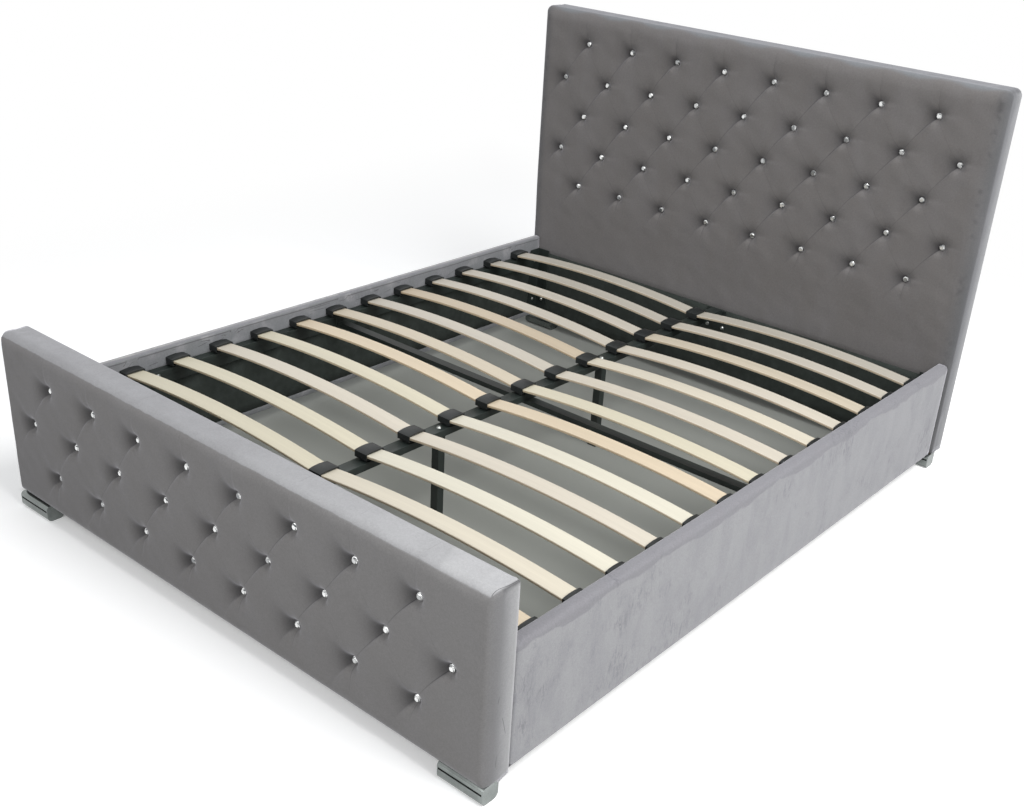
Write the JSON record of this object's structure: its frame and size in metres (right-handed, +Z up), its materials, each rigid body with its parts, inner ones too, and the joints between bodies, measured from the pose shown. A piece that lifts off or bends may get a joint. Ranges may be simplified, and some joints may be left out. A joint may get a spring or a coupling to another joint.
{
  "type": "upholstered bedstead",
  "caption": "Double bedstead with a tall deep-buttoned headboard, a low buttoned footboard, padded side rails and a sprung slat base on chrome feet.",
  "frame": {"origin": "On the floor under the middle of the bed's box, feet and headboard included.", "axes": "+X to the right seen from the foot end, +Y from the foot to the head, +Z up."},
  "size_m": [1.68, 2.187, 1.176],
  "materials": {
    "velvet": "grey short-pile velvet over foam and wadding",
    "black_cloth": "black non-woven lining cloth",
    "crystal": "clear cut crystal with a silvered back",
    "plywood": "unfinished board",
    "softwood": "sawn softwood",
    "beech": "pale laminated birch, lightly lacquered",
    "black_plastic": "moulded black, satin",
    "black_steel": "black powder coat",
    "chrome": "bright chrome plate",
    "zinc": "bright zinc plate"
  },
  "bodies": {
    "bedstead": {"headboard_tufted_pad": "velvet", "headboard_lining": "black_cloth", "headboard_crystals": "crystal", "headboard_panel": "plywood", "headboard_frame": "softwood", "headboard_edge_wrap": "velvet", "headboard_back_cloth": "black_cloth", "footboard_tufted_pad": "velvet", "footboard_crystals": "crystal", "footboard_panel": "plywood", "footboard_frame": "softwood", "footboard_edge_wrap": "velvet", "footboard_lining": "black_cloth", "rail_board_right": "plywood", "rail_board_left": "plywood", "rail_cover_right": "velvet", "rail_cover_left": "velvet", "rail_lining_right": "black_cloth", "rail_lining_left": "black_cloth", "slat_outer_holders": "black_plastic", "slat_centre_holders": "black_plastic", "slat_side_bar_right": "black_steel", "slat_side_bar_left": "black_steel", "centre_beam": "black_steel", "cross_beam": "black_steel", "centre_legs": "black_steel", "centre_leg_glides": "black_plastic", "beam_hangers": "black_steel", "corner_brackets": "black_steel", "chrome_feet": "chrome", "bracket_bolts": "zinc", "side_bar_bolts": "zinc", "beam_bolts": "zinc", "foot_screws": "zinc"},
    "slat_left_01": {"slat_left_01": "beech"},
    "slat_left_02": {"slat_left_02": "beech"},
    "slat_left_03": {"slat_left_03": "beech"},
    "slat_left_04": {"slat_left_04": "beech"},
    "slat_left_05": {"slat_left_05": "beech"},
    "slat_left_06": {"slat_left_06": "beech"},
    "slat_left_07": {"slat_left_07": "beech"},
    "slat_left_08": {"slat_left_08": "beech"},
    "slat_left_09": {"slat_left_09": "beech"},
    "slat_left_10": {"slat_left_10": "beech"},
    "slat_left_11": {"slat_left_11": "beech"},
    "slat_left_12": {"slat_left_12": "beech"},
    "slat_left_13": {"slat_left_13": "beech"},
    "slat_right_01": {"slat_right_01": "beech"},
    "slat_right_02": {"slat_right_02": "beech"},
    "slat_right_03": {"slat_right_03": "beech"},
    "slat_right_04": {"slat_right_04": "beech"},
    "slat_right_05": {"slat_right_05": "beech"},
    "slat_right_06": {"slat_right_06": "beech"},
    "slat_right_07": {"slat_right_07": "beech"},
    "slat_right_08": {"slat_right_08": "beech"},
    "slat_right_09": {"slat_right_09": "beech"},
    "slat_right_10": {"slat_right_10": "beech"},
    "slat_right_11": {"slat_right_11": "beech"},
    "slat_right_12": {"slat_right_12": "beech"},
    "slat_right_13": {"slat_right_13": "beech"}
  },
  "joints": [
    {"name": "slat_left_01_rock", "type": "hinge", "parent": "bedstead", "child": "slat_left_01", "pos_m": [-0.401, -0.9055, 0.307], "axis": [1, 0, 0], "range_deg": [-3, 3], "stiffness_Nm_per_rad": 1},
    {"name": "slat_left_02_rock", "type": "hinge", "parent": "bedstead", "child": "slat_left_02", "pos_m": [-0.401, -0.757, 0.307], "axis": [1, 0, 0], "range_deg": [-3, 3], "stiffness_Nm_per_rad": 1},
    {"name": "slat_left_03_rock", "type": "hinge", "parent": "bedstead", "child": "slat_left_03", "pos_m": [-0.401, -0.6085, 0.307], "axis": [1, 0, 0], "range_deg": [-3, 3], "stiffness_Nm_per_rad": 1},
    {"name": "slat_left_04_rock", "type": "hinge", "parent": "bedstead", "child": "slat_left_04", "pos_m": [-0.401, -0.46, 0.307], "axis": [1, 0, 0], "range_deg": [-3, 3], "stiffness_Nm_per_rad": 1},
    {"name": "slat_left_05_rock", "type": "hinge", "parent": "bedstead", "child": "slat_left_05", "pos_m": [-0.401, -0.3115, 0.307], "axis": [1, 0, 0], "range_deg": [-3, 3], "stiffness_Nm_per_rad": 1},
    {"name": "slat_left_06_rock", "type": "hinge", "parent": "bedstead", "child": "slat_left_06", "pos_m": [-0.401, -0.163, 0.307], "axis": [1, 0, 0], "range_deg": [-3, 3], "stiffness_Nm_per_rad": 1},
    {"name": "slat_left_07_rock", "type": "hinge", "parent": "bedstead", "child": "slat_left_07", "pos_m": [-0.401, -0.0145, 0.307], "axis": [1, 0, 0], "range_deg": [-3, 3], "stiffness_Nm_per_rad": 1},
    {"name": "slat_left_08_rock", "type": "hinge", "parent": "bedstead", "child": "slat_left_08", "pos_m": [-0.401, 0.134, 0.307], "axis": [1, 0, 0], "range_deg": [-3, 3], "stiffness_Nm_per_rad": 1},
    {"name": "slat_left_09_rock", "type": "hinge", "parent": "bedstead", "child": "slat_left_09", "pos_m": [-0.401, 0.2825, 0.307], "axis": [1, 0, 0], "range_deg": [-3, 3], "stiffness_Nm_per_rad": 1},
    {"name": "slat_left_10_rock", "type": "hinge", "parent": "bedstead", "child": "slat_left_10", "pos_m": [-0.401, 0.431, 0.307], "axis": [1, 0, 0], "range_deg": [-3, 3], "stiffness_Nm_per_rad": 1},
    {"name": "slat_left_11_rock", "type": "hinge", "parent": "bedstead", "child": "slat_left_11", "pos_m": [-0.401, 0.5795, 0.307], "axis": [1, 0, 0], "range_deg": [-3, 3], "stiffness_Nm_per_rad": 1},
    {"name": "slat_left_12_rock", "type": "hinge", "parent": "bedstead", "child": "slat_left_12", "pos_m": [-0.401, 0.728, 0.307], "axis": [1, 0, 0], "range_deg": [-3, 3], "stiffness_Nm_per_rad": 1},
    {"name": "slat_left_13_rock", "type": "hinge", "parent": "bedstead", "child": "slat_left_13", "pos_m": [-0.401, 0.8765, 0.307], "axis": [1, 0, 0], "range_deg": [-3, 3], "stiffness_Nm_per_rad": 1},
    {"name": "slat_right_01_rock", "type": "hinge", "parent": "bedstead", "child": "slat_right_01", "pos_m": [0.401, -0.9055, 0.307], "axis": [1, 0, 0], "range_deg": [-3, 3], "stiffness_Nm_per_rad": 1},
    {"name": "slat_right_02_rock", "type": "hinge", "parent": "bedstead", "child": "slat_right_02", "pos_m": [0.401, -0.757, 0.307], "axis": [1, 0, 0], "range_deg": [-3, 3], "stiffness_Nm_per_rad": 1},
    {"name": "slat_right_03_rock", "type": "hinge", "parent": "bedstead", "child": "slat_right_03", "pos_m": [0.401, -0.6085, 0.307], "axis": [1, 0, 0], "range_deg": [-3, 3], "stiffness_Nm_per_rad": 1},
    {"name": "slat_right_04_rock", "type": "hinge", "parent": "bedstead", "child": "slat_right_04", "pos_m": [0.401, -0.46, 0.307], "axis": [1, 0, 0], "range_deg": [-3, 3], "stiffness_Nm_per_rad": 1},
    {"name": "slat_right_05_rock", "type": "hinge", "parent": "bedstead", "child": "slat_right_05", "pos_m": [0.401, -0.3115, 0.307], "axis": [1, 0, 0], "range_deg": [-3, 3], "stiffness_Nm_per_rad": 1},
    {"name": "slat_right_06_rock", "type": "hinge", "parent": "bedstead", "child": "slat_right_06", "pos_m": [0.401, -0.163, 0.307], "axis": [1, 0, 0], "range_deg": [-3, 3], "stiffness_Nm_per_rad": 1},
    {"name": "slat_right_07_rock", "type": "hinge", "parent": "bedstead", "child": "slat_right_07", "pos_m": [0.401, -0.0145, 0.307], "axis": [1, 0, 0], "range_deg": [-3, 3], "stiffness_Nm_per_rad": 1},
    {"name": "slat_right_08_rock", "type": "hinge", "parent": "bedstead", "child": "slat_right_08", "pos_m": [0.401, 0.134, 0.307], "axis": [1, 0, 0], "range_deg": [-3, 3], "stiffness_Nm_per_rad": 1},
    {"name": "slat_right_09_rock", "type": "hinge", "parent": "bedstead", "child": "slat_right_09", "pos_m": [0.401, 0.2825, 0.307], "axis": [1, 0, 0], "range_deg": [-3, 3], "stiffness_Nm_per_rad": 1},
    {"name": "slat_right_10_rock", "type": "hinge", "parent": "bedstead", "child": "slat_right_10", "pos_m": [0.401, 0.431, 0.307], "axis": [1, 0, 0], "range_deg": [-3, 3], "stiffness_Nm_per_rad": 1},
    {"name": "slat_right_11_rock", "type": "hinge", "parent": "bedstead", "child": "slat_right_11", "pos_m": [0.401, 0.5795, 0.307], "axis": [1, 0, 0], "range_deg": [-3, 3], "stiffness_Nm_per_rad": 1},
    {"name": "slat_right_12_rock", "type": "hinge", "parent": "bedstead", "child": "slat_right_12", "pos_m": [0.401, 0.728, 0.307], "axis": [1, 0, 0], "range_deg": [-3, 3], "stiffness_Nm_per_rad": 1},
    {"name": "slat_right_13_rock", "type": "hinge", "parent": "bedstead", "child": "slat_right_13", "pos_m": [0.401, 0.8765, 0.307], "axis": [1, 0, 0], "range_deg": [-3, 3], "stiffness_Nm_per_rad": 1}
  ]
}
